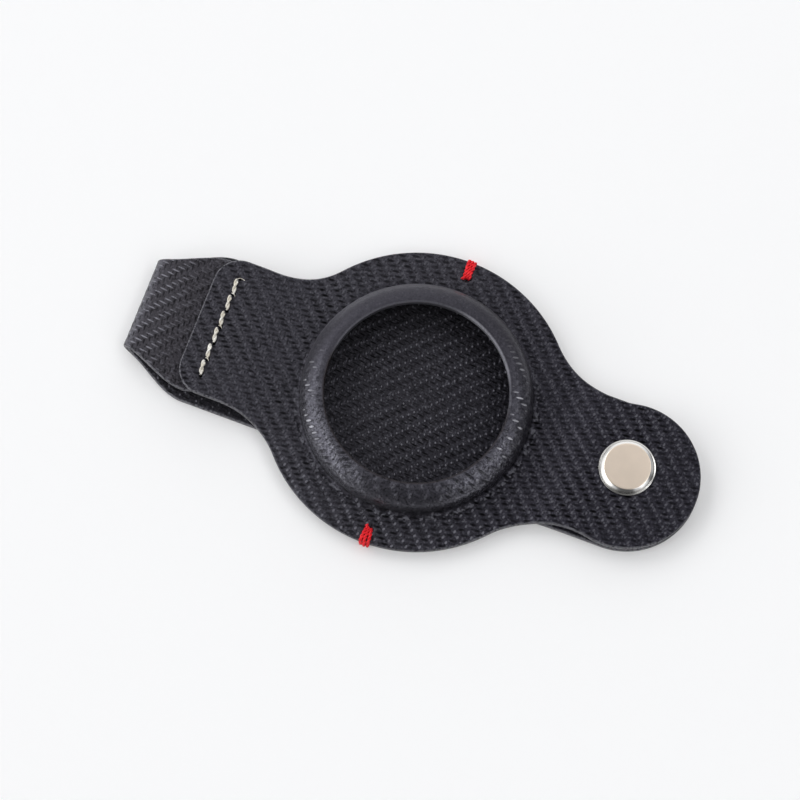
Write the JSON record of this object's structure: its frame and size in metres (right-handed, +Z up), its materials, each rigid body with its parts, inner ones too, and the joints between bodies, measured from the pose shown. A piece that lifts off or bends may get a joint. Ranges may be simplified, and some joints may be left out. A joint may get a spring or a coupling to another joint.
{
  "type": "tracker tag holder",
  "caption": "Flat leather holder for a coin-shaped tracker tag: domed pocket with a round window, snap flap and folded key loop.",
  "frame": {"origin": "centre of the round tag pocket, on the plane that the holder's back lies on", "axes": "+X along the holder's long axis towards the snap, +Y across it, +Z up out of the window"},
  "size_m": [0.0883, 0.047, 0.0075],
  "materials": {
    "leather_outer": "embossed near-black leather with rows of short pits, satin",
    "leather_lining": "finely embossed near-black lining, satin, with paler cut edges",
    "snap_steel": "satin face, polished bevel",
    "thread_cream": "twisted thread, matt",
    "thread_red": "twisted thread, matt"
  },
  "bodies": {
    "holder": {"back_outer": "leather_outer", "back_lining": "leather_lining", "front_outer": "leather_outer", "front_lining": "leather_lining", "tab_needle_thread": "thread_cream", "tab_bobbin_thread": "thread_cream", "bar_tack_far": "thread_red", "bar_tack_near": "thread_red", "snap_stud": "snap_steel", "snap_rivet": "snap_steel"},
    "flap": {"flap_outer": "leather_outer", "flap_lining": "leather_lining", "snap_cap": "snap_steel", "snap_post": "snap_steel", "snap_socket": "snap_steel", "snap_spring": "snap_steel"}
  },
  "joints": [
    {"name": "flap_peel", "type": "hinge", "parent": "holder", "child": "flap", "pos_m": [0.0016, 0, 0.0075], "axis": [0, -1, 0], "range_deg": [0, 45], "stiffness_Nm_per_rad": 0.01, "deforming": ["snap_spring"]}
  ]
}
